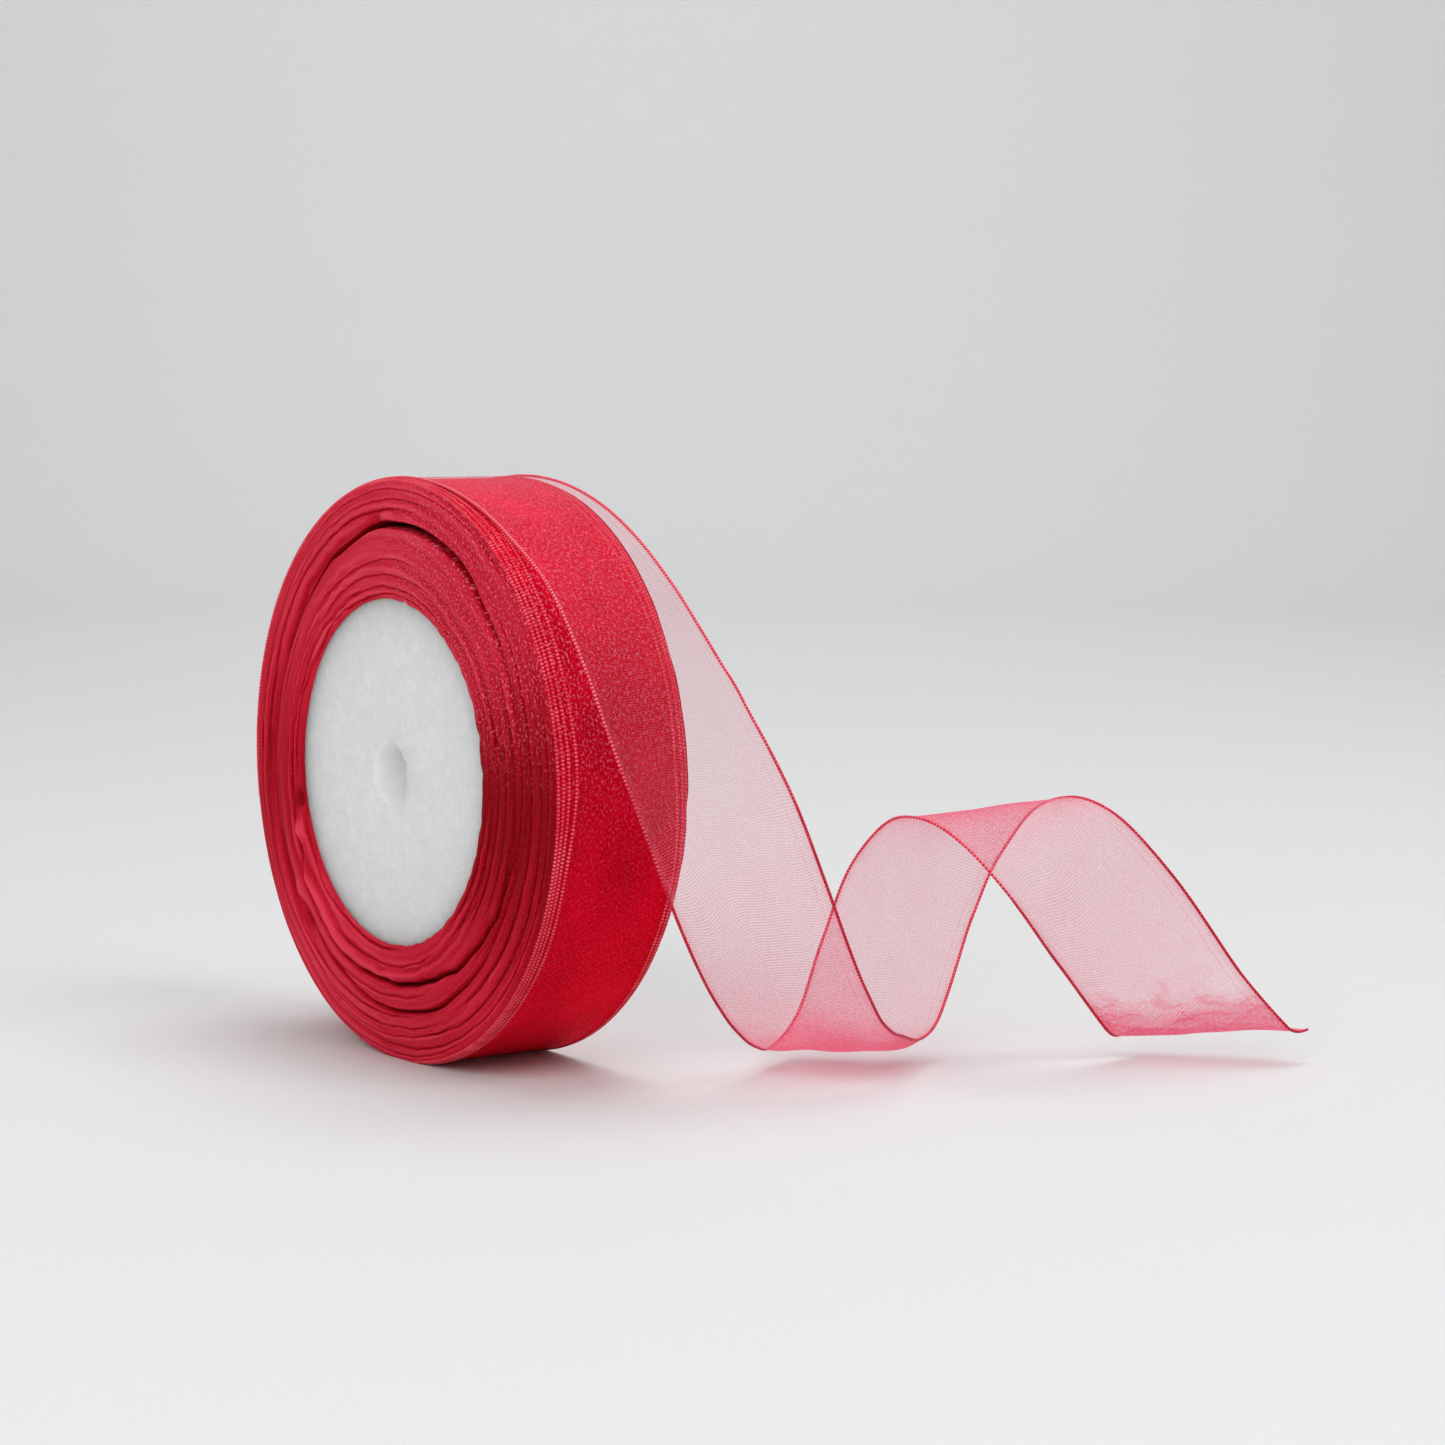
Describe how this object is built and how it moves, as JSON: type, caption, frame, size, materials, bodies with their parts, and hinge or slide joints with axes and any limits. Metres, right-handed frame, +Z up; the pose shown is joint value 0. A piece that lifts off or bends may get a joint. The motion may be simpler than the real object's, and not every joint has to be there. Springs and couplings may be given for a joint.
{
  "type": "ribbon spool",
  "caption": "Round roll of sheer ribbon wound on a foam disc core with a small through hole, with a loose curling end.",
  "frame": {"origin": "on the table, in the middle of the flattened patch that the roll stands on", "axes": "+Z up, Y along the spool's axis with the open face towards -Y, the loose end leaves the roll on the +X side"},
  "size_m": [0.1549, 0.1163, 0.1005],
  "materials": {
    "core_foam": "matte",
    "adhesive_tape": "satin",
    "packed_ribbon": "matte",
    "sheer_ribbon": "satin"
  },
  "bodies": {
    "spool": {"foam_core": "core_foam", "starter_tape": "adhesive_tape", "inner_winding": "packed_ribbon", "outer_winding": "packed_ribbon"},
    "last_turn": {"last_turn": "sheer_ribbon"},
    "tail_drop": {"tail_drop": "sheer_ribbon"},
    "tail_rise": {"tail_rise": "sheer_ribbon"},
    "tail_fall": {"tail_fall": "sheer_ribbon"}
  },
  "joints": [
    {"name": "unwind", "type": "hinge", "parent": "spool", "child": "last_turn", "pos_m": [0, 0, 0.04965], "axis": [0, -1, 0], "continuous": true},
    {"name": "tail_lift", "type": "hinge", "parent": "last_turn", "child": "tail_drop", "pos_m": [0.02899, 0.0036, 0.09106], "axis": [0.0701, -0.9963, -0.0491], "range_deg": [0, 55]},
    {"name": "bottom_bend", "type": "hinge", "parent": "tail_drop", "child": "tail_rise", "pos_m": [0.05128, 0.04532, 0.00214], "axis": [-0.8248, -0.5637, 0.0431], "range_deg": [-25, 12], "stiffness_Nm_per_rad": 0.002},
    {"name": "arch_bend", "type": "hinge", "parent": "tail_rise", "child": "tail_fall", "pos_m": [0.0637, 0.06449, 0.04276], "axis": [0.0709, -0.9973, -0.0191], "range_deg": [-6, 30], "stiffness_Nm_per_rad": 0.001}
  ]
}
